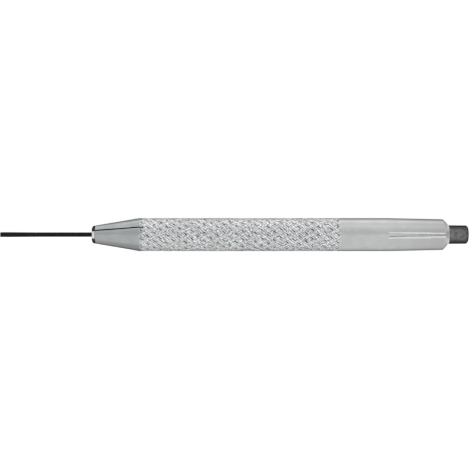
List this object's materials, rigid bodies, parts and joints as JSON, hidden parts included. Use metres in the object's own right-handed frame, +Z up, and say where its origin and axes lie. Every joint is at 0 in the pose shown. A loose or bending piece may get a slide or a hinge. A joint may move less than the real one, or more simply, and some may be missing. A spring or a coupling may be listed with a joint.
{
  "type": "pin punch",
  "caption": "Pin punch with a thin pin, a knurled guide sleeve that slides forward over the pin, a split pinched tail and a flat striking head.",
  "frame": {"origin": "on the bench, under the middle of the punch's length and under its axis; the axis runs 5.3 mm above the bench", "axes": "+X along the axis from the pin's tip to the striking head, +Z up from the bench, -Y towards the viewer of the picture, who sees the tail slot face on"},
  "size_m": [0.15, 0.0106, 0.0106],
  "materials": {
    "satin_nickel": "knurled steel with satin nickel plating, brighter on the nose",
    "black_steel": "hardened steel, black oxide",
    "ground_steel": "ground bright steel",
    "turned_steel": "turned steel",
    "bush_brass": "turned bearing brass",
    "hardened_head": "hardened dark grey steel, worn a little at the edges"
  },
  "bodies": {
    "sleeve": {"guide_sleeve": "satin_nickel"},
    "bush": {"guide_bush": "bush_brass"},
    "punch": {"punch_pin": "black_steel", "pin_nut": "turned_steel", "shaft": "ground_steel", "striking_head": "hardened_head"}
  },
  "joints": [
    {"name": "sleeve_slide", "type": "slide", "parent": "sleeve", "child": "bush", "axis": [1, 0, 0], "range_m": [0, 0.0303]},
    {"name": "shaft_spin", "type": "hinge", "parent": "bush", "child": "punch", "pos_m": [-0.018, 0, 0.0053], "axis": [1, 0, 0], "continuous": true}
  ]
}
